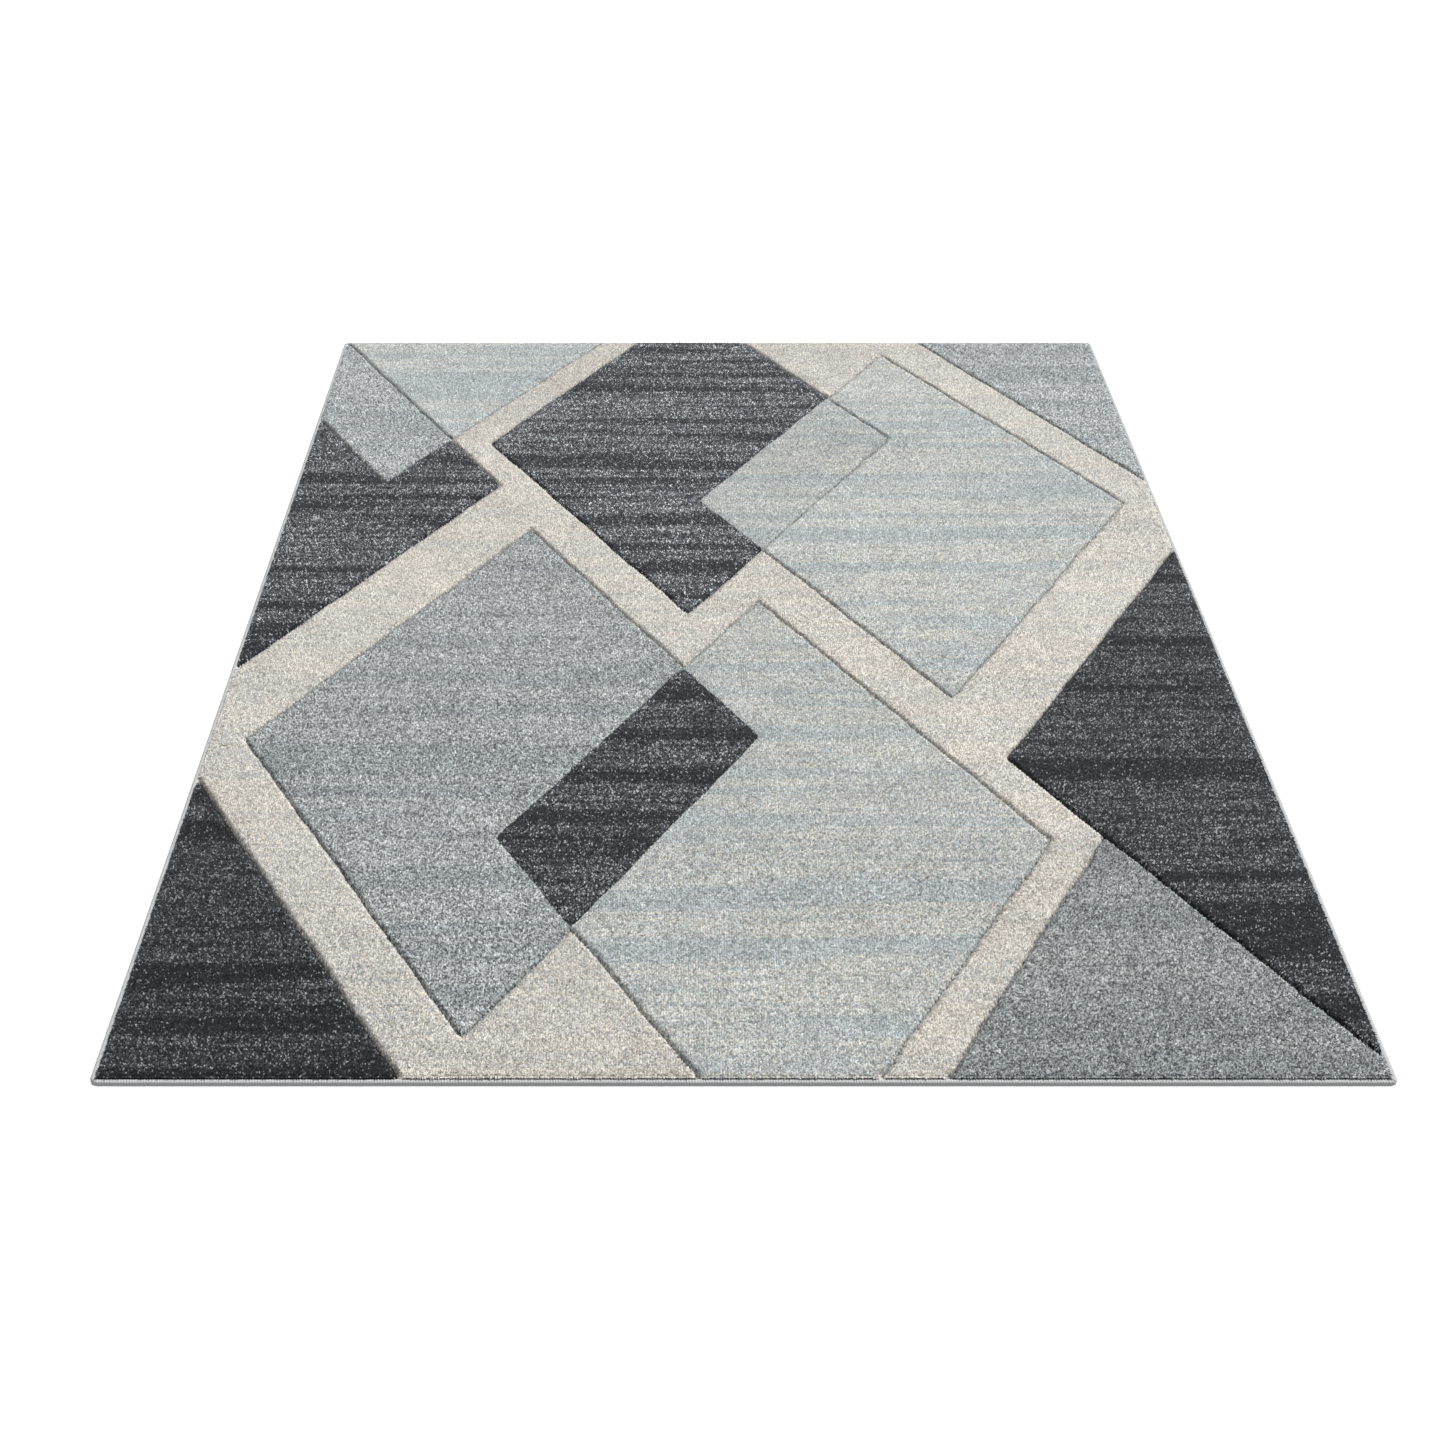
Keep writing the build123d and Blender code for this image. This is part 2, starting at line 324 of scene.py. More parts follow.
def make_twist_group():
    """Twisted yarn: slanted strands along the axis that a piece runs in, and loose fibre. The dark
    colour goes in the grooves between the strands, as painted shade, and in the loose fibre.
    """
    group, given, out = new_group("twisted_yarn", [
        ("Light", "NodeSocketColor", (0.6, 0.6, 0.6, 1.0)),
        ("Dark", "NodeSocketColor", (0.3, 0.3, 0.3, 1.0)),
        ("Strands per Metre", "NodeSocketFloat", 500.0),
    ], [("Color", "NodeSocketColor"), ("Height", "NodeSocketFloat")])
    place = add_node(group, "ShaderNodeTexCoord").outputs["Object"]
    split = add_node(group, "ShaderNodeSeparateXYZ", {"Vector": place})
    across = calculate(group, "ADD", split.outputs["X"], split.outputs["Y"])
    slanted = calculate(group, "ADD", across, split.outputs["Z"])
    pace = calculate(group, "MULTIPLY", given.outputs["Strands per Metre"], 2 * math.pi)
    strand = calculate(group, "SINE", calculate(group, "MULTIPLY", slanted, pace))
    fibre = add_node(group, "ShaderNodeTexNoise", {"Vector": place, "Scale": 900.0, "Detail": 3.0})
    height = calculate(group, "MULTIPLY_ADD", strand, 0.4, fibre.outputs["Fac"])
    # Painted shade in the grooves between the strands, mixed with the fibre noise
    colour = blend_colours(group, fade(group, height, 0.1, 0.8),
                           given.outputs["Dark"], given.outputs["Light"])
    group.links.new(colour, out.inputs["Color"])
    group.links.new(height, out.inputs["Height"])
    return group


twist_group = make_twist_group()


def twisted_material(name, light, dark, strand, relief, sheen):
    """A twisted yarn or cord: its group in the base colour, and as relief over a bump."""
    material, shader = new_material(name, 0.8, sheen)
    tree = material.node_tree
    twist = add_node(tree, "ShaderNodeGroup", node_tree=twist_group)
    twist.inputs["Light"].default_value = light
    twist.inputs["Dark"].default_value = dark
    twist.inputs["Strands per Metre"].default_value = 1.0 / strand
    bump = add_node(tree, "ShaderNodeBump", {
        "Strength": 0.5, "Distance": relief, "Height": twist.outputs["Height"]})
    tree.links.new(twist.outputs["Color"], shader.inputs["Base Color"])
    tree.links.new(bump.outputs["Normal"], shader.inputs["Normal"])
    return material


SIDES = ("front", "left", "back", "right")
cord_yarn = twisted_material("edge_cord", (0.62, 0.58, 0.48, 1.0), (0.38, 0.34, 0.27, 1.0),
                             strand=0.004, relief=0.0004, sheen=0.1)
for side in SIDES:
    for cord_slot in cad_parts["edge_cord_" + side].material_slots:
        cord_slot.material = cord_yarn


# Serged edges. Grey yarn wrapped side by side round the cord and the rim of the cloth, on
# all four sides and round the corners, so that each edge is a row of small raised turns.

edge_low, edge_high = np.array(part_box("serged_edge_front"))
EDGE_THICK = edge_high[2] - edge_low[2]
EDGE_WIDE = cad_box[1][1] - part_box("pile_grey_back_right")[1][1]
RUG_X, RUG_Y = cad_box[1][0], cad_box[1][1]
CORNER = 0.012
WRAP_PITCH = 0.0034
WRAP_CREASE = 0.00055
WRAP_SLANT = 0.0012
WRAP_UNEVEN = 0.00012
WRAP_INSIDE = 0.0001
WRAP_POWER = 0.76
WRAP_POINTS = 14
STEPS_PER_WRAP = 4
TURN = CORNER - EDGE_WIDE / 2
rim_x, rim_y = RUG_X - EDGE_WIDE / 2, RUG_Y - EDGE_WIDE / 2
SIDE_START = np.array([[rim_x, -rim_y], [-rim_x, -rim_y], [-rim_x, rim_y], [rim_x, rim_y]])
SIDE_ALONG = np.array([[-1.0, 0.0], [0.0, 1.0], [1.0, 0.0], [0.0, -1.0]])
SIDE_OUT = np.array([[0.0, -1.0], [-1.0, 0.0], [0.0, 1.0], [1.0, 0.0]])
SIDE_STRAIGHT = 2 * np.array([rim_x, rim_y, rim_x, rim_y]) - 2 * TURN
HALF_TURN = math.pi / 4 * TURN


def rim(side, distance):
    """Points on the middle line of an edge, and the way out of the rug there. The line is
    half a corner, a straight and half a corner: the distance past either end of the
    straight, over the corner's radius, is the angle turned from the way out."""
    along = distance - HALF_TURN
    angle = (np.minimum(along, 0) + np.maximum(along - SIDE_STRAIGHT[side], 0)) / TURN
    straight = np.clip(along, 0, SIDE_STRAIGHT[side])[..., None]
    out = (np.cos(angle)[..., None] * SIDE_OUT[side]
           + np.sin(angle)[..., None] * SIDE_ALONG[side])
    centre = (SIDE_START[side] + SIDE_ALONG[side] * (TURN + straight)
              - SIDE_OUT[side] * TURN)
    return centre + TURN * out, out


def wrapped_edge(side, random):
    """Serging yarn: a superellipse section carried along the rim. Its radius falls in a
    crease at each whole turn, and the turns slant as they go round."""
    length = SIDE_STRAIGHT[side] + 2 * HALF_TURN
    wraps = round(length / WRAP_PITCH)
    step = np.arange(wraps * STEPS_PER_WRAP + 1)
    angle = 2 * math.pi * np.arange(WRAP_POINTS) / WRAP_POINTS
    turn = step[:, None] / STEPS_PER_WRAP
    distance = turn * length / wraps + WRAP_SLANT * np.sin(angle)[None, :]
    uneven = random.uniform(-WRAP_UNEVEN, WRAP_UNEVEN, wraps + 1)
    fullness = uneven[(step // STEPS_PER_WRAP) % wraps]
    fullness[[0, -1]] = 0.0
    crease = WRAP_CREASE * (1 - np.abs(np.sin(math.pi * turn)))
    wide = np.sign(np.cos(angle)) * np.abs(np.cos(angle)) ** WRAP_POWER
    tall = np.sign(np.sin(angle)) * np.abs(np.sin(angle)) ** WRAP_POWER
    reach = EDGE_WIDE / 2 - crease + fullness[:, None]
    rise = EDGE_THICK / 2 - WRAP_INSIDE - crease + fullness[:, None] / 2
    middle, out = rim(side, distance)
    points = np.empty(distance.shape + (3,))
    points[..., :2] = middle + out * (reach * wide)[..., None]
    points[..., 2] = EDGE_THICK / 2 + rise * tall
    at = np.arange(points[..., 0].size).reshape(distance.shape)
    around = np.roll(at, -1, axis=1)
    faces = np.stack([at[:-1], at[1:], around[1:], around[:-1]], -1).reshape(-1, 4)
    caps = [at[0].tolist(), at[-1, ::-1].tolist()]
    return points.reshape(-1, 3), faces.tolist() + caps


serging_yarn = twisted_material("serging_yarn", (0.64, 0.65, 0.65, 1.0), (0.40, 0.41, 0.42, 1.0),
                                strand=0.0012, relief=0.0002, sheen=0.25)
for number, side in enumerate(SIDES):
    edge_points, edge_faces = wrapped_edge(number, np.random.default_rng(20 + number))
    edge = make_piece("serging_" + side, edge_points, edge_faces, serging_yarn)
    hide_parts("serged_edge_" + side)


# Pile. Heat-set yarn, woven in and cut: a tuft stands in each small square of the cloth,
# spread at its tip. The colour of a field stops at a line of the design, where the tufts
# are shorn down to a groove, and the outermost tufts splay over the serging.

TUFT = 0.0032
NEAR = 1e-5
WAVER = 0.0008
PILE_FIELDS = sorted(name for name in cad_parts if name.startswith("pile_"))
field_boxes = np.array([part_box(name) for name in PILE_FIELDS])
pile_low, pile_high = field_boxes[:, 0].min(0), field_boxes[:, 1].max(0)
PILE_TOP, PILE_FOOT = pile_high[2], pile_low[2]
PILE_X, PILE_Y = pile_high[0], pile_high[1]
columns = round(2 * PILE_X / TUFT)
rows = round(2 * PILE_Y / TUFT)


def foot_triangles(name):
    """The triangles of a field's foot on the cloth, seen from above, as points in order."""
    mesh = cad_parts[name].data
    mesh.calc_loop_triangles()
    points = np.empty(len(mesh.vertices) * 3)
    mesh.vertices.foreach_get("co", points)
    corners = np.empty(len(mesh.loop_triangles) * 3, np.int32)
    mesh.loop_triangles.foreach_get("vertices", corners)
    triangles = points.reshape(-1, 3)[corners].reshape(-1, 3, 3)
    on_cloth = (np.abs(triangles[..., 2] - PILE_FOOT) < NEAR).all(1)
    return triangles[on_cloth][..., :2]


def outline(triangles):
    """The sides of a foot: the edges that only one of its triangles has."""
    ends = np.concatenate([triangles[:, [0, 1]], triangles[:, [1, 2]], triangles[:, [2, 0]]])
    keys = np.round(ends / NEAR).astype(np.int64)
    flip = (keys[:, 0, 0] > keys[:, 1, 0]) | (
        (keys[:, 0, 0] == keys[:, 1, 0]) & (keys[:, 0, 1] > keys[:, 1, 1]))
    keys[flip] = keys[flip][:, ::-1]
    found, first, count = np.unique(keys.reshape(-1, 4), axis=0, return_index=True,
                                    return_counts=True)
    return ends[first[count == 1]]


def cross_product(a, b):
    return a[..., 0] * b[..., 1] - a[..., 1] * b[..., 0]


def wavered(points):
    """Points moved as the design wavers on the loom and under the shears: each coordinate
    by a sum of three sines of the other one, of different lengths."""
    x, y = points[..., 0], points[..., 1]
    across = np.sin(31.0 * y + 2.0) + 0.7 * np.sin(73.0 * y - 11.0 * x) + 0.4 * np.sin(157.0 * y)
    along = np.sin(27.0 * x + 1.0) + 0.7 * np.sin(67.0 * x + 9.0 * y) + 0.4 * np.sin(149.0 * x)
    return points + WAVER * np.stack([across, along], -1)



def owners(centres):
    """The number of the field that each tuft stands in, or -1 outside them all. A tuft is
    in a triangle if it is on the same side of its three edges."""
    found = np.full(centres.shape[:2], -1)
    for number, name in enumerate(PILE_FIELDS):
        for triangle in foot_triangles(name):
            turns = [cross_product(triangle[(i + 1) % 3] - triangle[i], centres - triangle[i])
                     for i in range(3)]
            inside = np.minimum.reduce(turns) >= 0
            inside |= np.maximum.reduce(turns) <= 0
            found[inside & (found < 0)] = number
    return found


def nearest_line(points, segments):
    """How far each point is from the nearest segment, and its nearest point there."""
    best = np.full(points.shape[:-1], np.inf)
    place = np.zeros(points.shape)
    for start, end in segments:
        along = end - start
        share = np.clip(((points - start) @ along) / (along @ along), 0, 1)
        foot = start + share[..., None] * along
        distance = np.hypot(*np.moveaxis(points - foot, -1, 0))
        closer = distance < best
        best[closer] = distance[closer]
        place[closer] = foot[closer]
    return best, place


lattice_x = np.linspace(-PILE_X, PILE_X, columns + 1)
lattice_y = np.linspace(-PILE_Y, PILE_Y, rows + 1)
roots = np.stack(np.meshgrid(lattice_x, lattice_y), -1)
tips = (roots[:-1, :-1] + roots[1:, 1:]) / 2
tip_limit = tips[-1, -1]
owner = owners(np.clip(wavered(tips), -tip_limit, tip_limit))
is_cream = np.array([name.startswith("pile_cream") for name in PILE_FIELDS] + [False])
colour_field = np.where(is_cream[owner], len(PILE_FIELDS), owner)

# A line of the design is carved deep, except round the charcoal overlap and between the
# charcoal and the light overlap, where the shears only touch it. Lines between two bands
# of cream aren't carved at all.
SOFT_PAIRS = [("pile_charcoal_overlap", "pile_"), ("pile_charcoal_back", "pile_light_overlap")]


def field_beyond(name, segment):
    """The name of the field on the other side of a segment of a field's outline."""
    start, end = segment
    middle = (start + end) / 2
    normal = np.array([end[1] - start[1], start[0] - end[0]]) / np.hypot(*(end - start))
    for way in (1, -1):
        x, y = middle + way * normal * TUFT
        if abs(x) < PILE_X and abs(y) < PILE_Y:
            row = int((y + PILE_Y) / (2 * PILE_Y) * rows)
            column = int((x + PILE_X) / (2 * PILE_X) * columns)
            other = PILE_FIELDS[owner[row, column]]
            if other != name:
                return other
    return None


deep_lines, soft_lines = [], []
for name in PILE_FIELDS:
    for segment in outline(foot_triangles(name)):
        beyond = field_beyond(name, segment)
        if beyond is None or (name.startswith("pile_cream") and beyond.startswith("pile_cream")):
            continue
        soft = any((a == name and beyond.startswith(b)) or (a == beyond and name.startswith(b))
                   for a, b in SOFT_PAIRS)
        (soft_lines if soft else deep_lines).append(segment)


def mixed_neighbours(cells):
    """True at each corner of the lattice where the tufts round it aren't all alike."""
    padded = np.pad(cells, 1, mode="edge")
    around = np.stack([padded[:-1, :-1], padded[1:, :-1], padded[:-1, 1:], padded[1:, 1:]])
    return around.min(0) != around.max(0)


random = np.random.default_rng(7)
deep_at_tip, _ = nearest_line(wavered(tips), deep_lines)
soft_at_tip, _ = nearest_line(wavered(tips), soft_lines)
deep_at_root, deep_foot = nearest_line(wavered(roots), deep_lines)
soft_at_root, soft_foot = nearest_line(wavered(roots), soft_lines)

# How the shears leave the pile: its drop beside a line fades over the width of a shoulder,
# and the tufts at the rug's rim lean and splay out over the serging
CORNER_REACH = 3
LINE_REACH = 1.3 * TUFT
SHOULDER = 0.0088
SHEAR_POWER = 2.4
DEEP_DROP = 0.0050
SOFT_DROP = 0.0012
GROOVE_BED = PILE_FOOT + 0.0012
SOFT_BED = PILE_TOP - 0.0038
TIP_DROP = 0.0013
ROOT_DEPTH = 0.0026
LOWEST_ROOT = PILE_FOOT + 0.0008
RIM_BED = PILE_FOOT + 0.0062
RIM_LEAN = 0.0012
RIM_SPLAY = 0.0066
RIM_DROP = 0.0046
RIM_BAND = 0.008
NAP = np.array([0.0001, -0.0005])
ROOT_LOOSE, LINE_LOOSE, TIP_LOOSE = 0.22 * TUFT, 0.27 * TUFT, 0.28 * TUFT


def shorn(deep, soft):
    """The drop beside lines of the design: a power of what is left of the shoulder."""
    return (DEEP_DROP * np.clip(1 - deep / SHOULDER, 0, 1) ** SHEAR_POWER
            + SOFT_DROP * np.clip(1 - soft / SHOULDER, 0, 1) ** SHEAR_POWER)


def rim_share(points):
    """1 at the rug's own rim, falling to 0 over a band inside it, and the way out."""
    inside = np.stack([PILE_X - np.abs(points[..., 0]), PILE_Y - np.abs(points[..., 1])], -1)
    share = np.clip(1 - inside / RIM_BAND, 0, 1)
    return share.max(-1), share * np.sign(points)


def brushed(points):
    """A slow change in the lie of the pile: slanted waves of different lengths, summed."""
    x, y = points[..., 0], points[..., 1]
    return (np.sin(5.1 * x + 9.0 * y + 1.0) + np.sin(14.0 * y - 3.0 * x) * 0.7
            + np.sin(23.0 * x + 31.0 * y) * 0.4) / 2.1


def spread(shape, reach):
    return random.uniform(-reach, reach, shape)


def window_mean(values, mask, reach):
    """At each place, the mean of the values under the mask, up to reach places away."""
    total = np.zeros(values.shape)
    count = np.zeros(mask.shape)
    padded_values = np.pad(values * mask[..., None], ((reach, reach), (reach, reach), (0, 0)))
    padded_mask = np.pad(mask, reach)
    for i in range(2 * reach + 1):
        for j in range(2 * reach + 1):
            total += padded_values[i:i + mask.shape[0], j:j + mask.shape[1]]
            count += padded_mask[i:i + mask.shape[0], j:j + mask.shape[1]]
    return total / np.maximum(count, 1)[..., None]


# Roots beside a line are gathered on to it, and rounded where it turns
on_line = mixed_neighbours(colour_field)
on_line &= np.minimum(deep_at_root, soft_at_root) < LINE_REACH
deep_root = on_line & (deep_at_root <= soft_at_root)
root_foot = np.where(deep_root[..., None], deep_foot, soft_foot) + roots - wavered(roots)
rounded = window_mean(root_foot, on_line, CORNER_REACH)
rug_rim = np.zeros(on_line.shape, bool)
rug_rim[[0, -1], :] = True
rug_rim[:, [0, -1]] = True
root_places = roots + spread(roots.shape, ROOT_LOOSE)
root_places[on_line] = rounded[on_line] + spread((on_line.sum(), 2), LINE_LOOSE)
root_places[rug_rim] = (roots + RIM_LEAN * rim_share(roots)[1])[rug_rim]

tip_rim, tip_out = rim_share(tips)
clearance = np.minimum(deep_at_tip, soft_at_tip)
loose = spread(tips.shape, TIP_LOOSE) * np.clip(clearance / TUFT, 0.3, 1)[..., None]
reach = RIM_SPLAY * random.uniform(0.4, 1.1, tips.shape[:2])[..., None]
nap = (NAP * (1 + 0.8 * brushed(tips))[..., None]
       * np.clip(clearance / TUFT - 0.5, 0, 1)[..., None])
cell_middle = (root_places[:-1, :-1] + root_places[:-1, 1:]
               + root_places[1:, 1:] + root_places[1:, :-1]) / 4
tip_places = cell_middle + loose + nap + tip_out ** 2 * np.sign(tip_out) * reach
tip_height = (PILE_TOP - TIP_DROP * random.random(tips.shape[:2]) ** 1.5
              - shorn(deep_at_tip, soft_at_tip)
              - RIM_DROP * tip_rim ** 2 * random.uniform(0.6, 1.2, tips.shape[:2]))

root_height = (PILE_TOP - TIP_DROP * 0.4
               - ROOT_DEPTH * random.uniform(0.7, 1.2, roots.shape[:2])
               - shorn(deep_at_root, soft_at_root))
root_height[on_line] = SOFT_BED
root_height[deep_root] = GROOVE_BED
root_height[rug_rim] = np.minimum(root_height[rug_rim], RIM_BED)
root_height = np.maximum(root_height, LOWEST_ROOT)

root_points = np.concatenate([root_places, root_height[..., None]], -1)
tip_points = np.concatenate([tip_places, tip_height[..., None]], -1)


def lattice_normals():
    """Directions at roots and tips: the sum of the four or eight sides of tufts that meet
    there, as one surface, so that no seam shows where one colour's mesh stops."""
    corners = [root_points[:-1, :-1], root_points[:-1, 1:],
               root_points[1:, 1:], root_points[1:, :-1]]
    sides = [np.cross(corners[(i + 1) % 4] - corners[i], tip_points - corners[i])
             for i in range(4)]
    at_roots = np.zeros(root_points.shape)
    at_roots[:-1, :-1] += sides[0] + sides[3]
    at_roots[:-1, 1:] += sides[0] + sides[1]
    at_roots[1:, 1:] += sides[1] + sides[2]
    at_roots[1:, :-1] += sides[2] + sides[3]
    both = np.concatenate([at_roots.reshape(-1, 3), sum(sides).reshape(-1, 3)])
    return both / np.linalg.norm(both, axis=1, keepdims=True)


all_points = np.concatenate([root_points.reshape(-1, 3), tip_points.reshape(-1, 3)])
all_normals = lattice_normals()
root_at = np.arange(roots[..., 0].size).reshape(roots.shape[:2])
tip_at = root_at.size + np.arange(tips[..., 0].size).reshape(tips.shape[:2])

# How far up its tuft a point stands, which sets the painted shade between the tufts: 1 at the
# tips, 0 at the roots, below 0 where the pile parts, lowest in the deep grooves, random at the rim
LINE_STAND = -0.6
GROOVE_STAND = -1.6
FULL_STAND = 0.9
root_stand = np.zeros(on_line.shape)
root_stand[on_line] = LINE_STAND
root_stand[rug_rim] = random.uniform(-0.8, FULL_STAND, rug_rim.sum())
root_stand[deep_root] = GROOVE_STAND
stand = np.concatenate([root_stand.ravel(), np.ones(tip_at.size)])


def floor_faces(points, edges):
    """Triangles that close the open foot of a field: its ring of edges, filled."""
    ring = bmesh.new()
    corners = [ring.verts.new(point) for point in points]
    sides = [ring.edges.new((corners[a], corners[b])) for a, b in edges]
    bmesh.ops.triangle_fill(ring, use_beauty=False, edges=sides, normal=(0.0, 0.0, -1.0))
    ring.verts.index_update()
    faces = np.array([[corner.index for corner in face.verts] for face in ring.faces])
    ring.free()
    return faces.reshape(-1, 3)


def field_mesh(number):
    """One field: a four-sided point over each of its squares, walls down to the cloth round
    its outline, and a foot that keeps within the serging. Gives its points, faces, the
    lattice numbers of its points, and for each corner its direction and its place in a flat
    map. The map is the field seen from above, fitted to a square; the walls lie on its
    outline, and the foot in its corner."""
    inside = owner == number
    row, column = np.nonzero(inside)
    a, b = root_at[row, column], root_at[row, column + 1]
    c, d = root_at[row + 1, column + 1], root_at[row + 1, column]
    tip = tip_at[row, column]
    tufts = np.concatenate([np.stack(side, -1) for side in
                            ((a, b, tip), (b, c, tip), (c, d, tip), (d, a, tip))])
    padded = np.pad(inside, 1)
    open_sides = np.concatenate([
        np.stack(pair, -1)[~beyond] for pair, beyond in (
            ((a, b), padded[row, column + 1]), ((b, c), padded[row + 1, column + 2]),
            ((c, d), padded[row + 2, column + 1]), ((d, a), padded[row + 1, column]))])
    used, places = np.unique(np.concatenate([tufts.ravel(), open_sides.ravel()]),
                             return_inverse=True)
    tufts = places[:tufts.size].reshape(-1, 3)
    open_sides = places[tufts.size:].reshape(-1, 2)
    ring, ring_places = np.unique(open_sides, return_inverse=True)
    ring_places = ring_places.reshape(-1, 2)
    points = all_points[used]
    foot = np.clip(points[ring], (-PILE_X, -PILE_Y, PILE_FOOT), (PILE_X, PILE_Y, PILE_FOOT))
    below = ring_places + len(points)
    walls = np.stack([open_sides[:, 1], open_sides[:, 0], below[:, 0], below[:, 1]], -1)
    floor_part = floor_faces(foot, ring_places) + len(points)
    along = points[open_sides[:, 1], :2] - points[open_sides[:, 0], :2]
    outward = np.stack([along[:, 1], -along[:, 0], np.zeros(len(along))], -1)
    outward /= np.linalg.norm(outward, axis=1, keepdims=True)
    normals = np.concatenate([all_normals[used][tufts.ravel()], np.repeat(outward, 4, axis=0),
                              np.tile([0.0, 0.0, -1.0], (floor_part.size, 1))])
    points = np.concatenate([points, foot])
    low, high = points[:, :2].min(0), points[:, :2].max(0)
    above = (points[:, :2] - low) / (high - low)
    flat_map = np.concatenate([above[tufts.ravel()], above[walls.ravel()],
                               np.zeros((floor_part.size, 2))])
    faces = tufts.tolist() + walls.tolist() + floor_part.tolist()
    return points, faces, np.concatenate([used, used[ring]]), normals, flat_map


def make_pile_group():
    """Heathered yarn with abrash. Each tuft is spun of one colour or another by chance, and
    the chances come and go along the weft rows, in broad bands and in fine streaks."""
    group, given, out = new_group("heathered_pile", [
        ("Yarn", "NodeSocketColor", (0.5, 0.5, 0.5, 1.0)),
        ("Fleck", "NodeSocketColor", (0.7, 0.7, 0.7, 1.0)),
        ("Streak", "NodeSocketColor", (0.6, 0.6, 0.5, 1.0)),
        ("Fleck Share", "NodeSocketFloat", 0.2),
        ("Streak Flecks", "NodeSocketFloat", 0.2),
        ("Streak Tint", "NodeSocketFloat", 0.5),
        ("Contrast", "NodeSocketFloat", 0.3),
        ("Depth", "NodeSocketFloat", 0.5),
        ("Seed", "NodeSocketFloat", 0.0),
    ], [("Color", "NodeSocketColor"), ("Height", "NodeSocketFloat")])
    place = add_node(group, "ShaderNodeTexCoord").outputs["Object"]
    split = add_node(group, "ShaderNodeSeparateXYZ", {"Vector": place})
    weft_row = calculate(group, "FLOOR", calculate(group, "DIVIDE", split.outputs["Y"], TUFT))

    def streaks(across, along, detail):
        """Noise that changes slowly along the weft rows, and quickly from row to row."""
        vector = add_node(group, "ShaderNodeCombineXYZ", {
            "X": calculate(group, "MULTIPLY", split.outputs["X"], across),
            "Y": calculate(group, "MULTIPLY", weft_row, along),
            "Z": given.outputs["Seed"]}).outputs[0]
        return add_node(group, "ShaderNodeTexNoise", {
            "Vector": vector, "Scale": 1.0, "Detail": detail, "Roughness": 0.6}).outputs["Fac"]

    band = fade(group, streaks(across=0.8, along=0.055, detail=1.0), 0.42, 0.52)
    fine = fade(group, streaks(across=5.0, along=0.36, detail=2.0), 0.42, 0.60)
    single = fade(group, streaks(across=1.6, along=0.83, detail=0.0), 0.56, 0.64)
    streak = calculate(group, "MULTIPLY_ADD", single, 0.3, calculate(
        group, "MULTIPLY", band, calculate(group, "MULTIPLY_ADD", fine, 0.65, 0.35)))
    cell = add_node(group, "ShaderNodeTexVoronoi", {"Vector": place, "Scale": 1 / YARN_WIDTH},
                    voronoi_dimensions="2D", feature="F1")
    chance = add_node(group, "ShaderNodeSeparateColor", {"Color": cell.outputs["Color"]})

    def by_chance(share, draw, soft):
        """1 where a tuft's draw falls within the share, with a soft step."""
        edge = calculate(group, "SUBTRACT", 1.0, share)
        return fade(group, draw, calculate(group, "SUBTRACT", edge, soft),
                    calculate(group, "ADD", edge, soft))

    tinted = by_chance(calculate(group, "MULTIPLY", streak, given.outputs["Streak Tint"]),
                       chance.outputs["Red"], soft=0.25)
    flecked = by_chance(calculate(group, "MULTIPLY_ADD", streak, given.outputs["Streak Flecks"],
                                  given.outputs["Fleck Share"]), chance.outputs["Green"],
                        soft=0.08)
    yarn = blend_colours(group, tinted, given.outputs["Yarn"], given.outputs["Streak"])
    colour = blend_colours(group, flecked, yarn, given.outputs["Fleck"])
    half = calculate(group, "MULTIPLY", given.outputs["Contrast"], 0.5)
    darkest = calculate(group, "MAXIMUM", calculate(group, "SUBTRACT", 1.0, half), DARKEST_TONE)
    tone = fade(group, chance.outputs["Blue"], 0.0, 1.0, darkest,
                calculate(group, "ADD", 1.0, half))
    # Painted shade: the colour darkens down each tuft to its roots, and most in the grooves, by
    # each point's stand
    stand_here = add_node(group, "ShaderNodeAttribute", attribute_name="stand").outputs["Fac"]
    dark = calculate(group, "SUBTRACT", 1.0, given.outputs["Depth"])
    depth = add_node(group, "ShaderNodeMapRange", {
        "Value": stand_here, "From Min": LINE_STAND, "From Max": FULL_STAND,
        "To Min": dark, "To Max": 1.0})
    lay = add_node(group, "ShaderNodeTexNoise", {"Vector": place, "Scale": 14.0, "Detail": 3.0})
    clump = add_node(group, "ShaderNodeTexNoise", {"Vector": place, "Scale": 150.0, "Detail": 1.0})
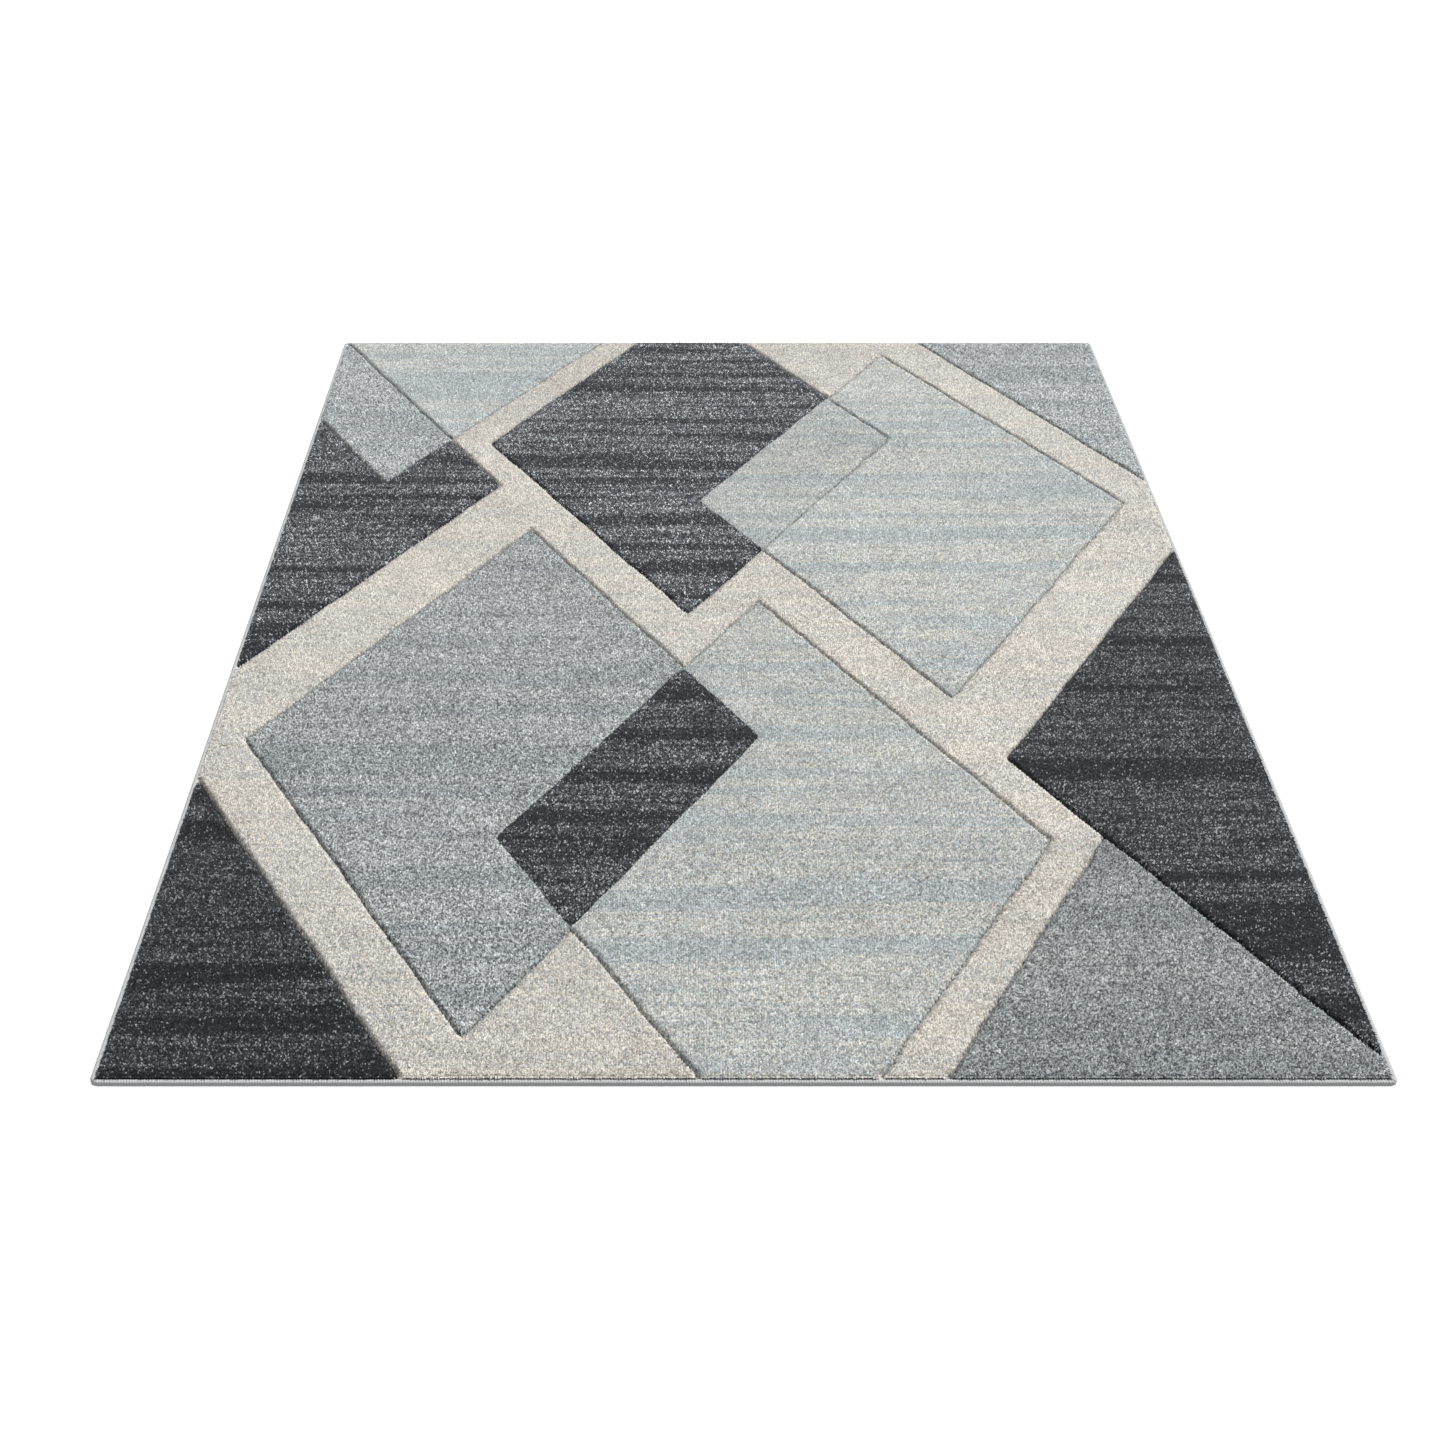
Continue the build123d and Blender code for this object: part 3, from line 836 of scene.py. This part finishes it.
    # Painted light as well as tone: each field's factor, mostly lighter towards the back and
    # darker towards the front
    field_tone_and_painted_light = add_node(group, "ShaderNodeAttribute", attribute_name="field_tone_and_painted_light").outputs["Fac"]
    level = field_tone_and_painted_light
    for share in (tone, depth.outputs["Result"],
                  fade(group, lay.outputs["Fac"], 0.3, 0.7, 0.95, 1.05),
                  add_node(group, "ShaderNodeMapRange", {
                      "Value": clump.outputs["Fac"], "From Min": 0.3, "From Max": 0.7,
                      "To Min": calculate(group, "SUBTRACT", 1.0, calculate(
                          group, "MULTIPLY", half, CLUMP_SHARE)),
                      "To Max": calculate(group, "MULTIPLY_ADD", half, CLUMP_SHARE, 1.0)},
                  ).outputs["Result"]):
        level = calculate(group, "MULTIPLY", level, share)
    grey = add_node(group, "ShaderNodeCombineColor", {"Red": level, "Green": level, "Blue": level})
    final = blend_colours(group, 1.0, colour, grey.outputs["Color"], "MULTIPLY")
    fibre = add_node(group, "ShaderNodeTexNoise", {
        "Vector": place, "Scale": 1300.0, "Detail": 2.0, "Roughness": 0.7}).outputs["Fac"]
    crown = calculate(group, "SUBTRACT", 1.0, cell.outputs["Distance"])
    height = calculate(group, "MULTIPLY_ADD", fibre, 0.4, crown)
    group.links.new(final, out.inputs["Color"])
    group.links.new(height, out.inputs["Height"])
    return group


YARN_WIDTH = 0.0019
CLUMP_SHARE = 0.25
DARKEST_TONE = 0.05
pile_group = make_pile_group()


def pile_material(name, sheen, **values):
    """A pile yarn: the heathered group in the base colour, with fibre relief and sheen."""
    material, shader = new_material(name, 0.9, sheen)
    tree = material.node_tree
    pile = add_node(tree, "ShaderNodeGroup", node_tree=pile_group)
    for label, value in values.items():
        socket = pile.inputs[label.replace("_", " ").title()]
        socket.default_value = (*value, 1.0) if isinstance(value, tuple) else value
    bump = add_node(tree, "ShaderNodeBump", {
        "Strength": 0.7, "Distance": 0.0008, "Height": pile.outputs["Height"]})
    tree.links.new(pile.outputs["Color"], shader.inputs["Base Color"])
    tree.links.new(bump.outputs["Normal"], shader.inputs["Normal"])
    return material


PILE_YARNS = {
    "charcoal": pile_material(
        "charcoal_yarn", 0.12, yarn=(0.023, 0.026, 0.033), fleck=(0.45, 0.475, 0.495),
        streak=(0.085, 0.093, 0.106), fleck_share=0.056, streak_flecks=0.23, streak_tint=0.9,
        contrast=2.3, depth=0.6, seed=3.0),
    "grey": pile_material(
        "mid_grey_yarn", 0.2, yarn=(0.36, 0.395, 0.41), fleck=(0.66, 0.70, 0.70),
        streak=(0.48, 0.50, 0.49), fleck_share=0.16, streak_flecks=0.15, streak_tint=0.9,
        contrast=1.45, depth=0.55, seed=11.0),
    "light": pile_material(
        "light_grey_yarn", 0.2, yarn=(0.49, 0.545, 0.565), fleck=(0.74, 0.77, 0.76),
        streak=(0.69, 0.665, 0.60), fleck_share=0.14, streak_flecks=0.10, streak_tint=0.9,
        contrast=0.85, depth=0.5, seed=19.0),
    "cream": pile_material(
        "cream_yarn", 0.2, yarn=(0.775, 0.718, 0.633), fleck=(0.85, 0.815, 0.745),
        streak=(0.58, 0.60, 0.60), fleck_share=0.2, streak_flecks=0.05, streak_tint=0.62,
        contrast=0.75, depth=0.5, seed=27.0),
}

# How light each field is against the colour of its kind: partly the yarn's own tone, partly
# painted light, which makes the fields towards the back lighter and those towards the front darker
FIELD_TONE_AND_PAINTED_LIGHT = {
    "charcoal_left": 1.02, "charcoal_back": 1.23, "charcoal_right": 0.57, "charcoal_overlap": 0.74,
    "charcoal_front_left": 0.45, "grey_back_right": 1.03, "grey_front_right": 0.71,
    "grey_left_diamond": 0.9, "light_overlap": 0.91, "light_front_diamond": 0.92,
    "cream_back_triangle": 0.95, "cream_back_left_band": 0.93, "cream_left_band": 0.97,
    "cream_right_band": 1.02, "cream_front_triangle": 0.91, "cream_front_left_band": 0.94,
    "cream_front_right_band": 0.94,
}

for number, name in enumerate(PILE_FIELDS):
    yarn = name.split("_")[1]
    points, faces, lattice, normals, flat_map = field_mesh(number)
    piece = make_piece("tufts_" + name[5:], points, faces, PILE_YARNS[yarn],
                       {"stand": stand[lattice],
                        "field_tone_and_painted_light": np.full(len(points), FIELD_TONE_AND_PAINTED_LIGHT.get(name[5:], 1.0))},
                       normals, flat_map)
    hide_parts(name)
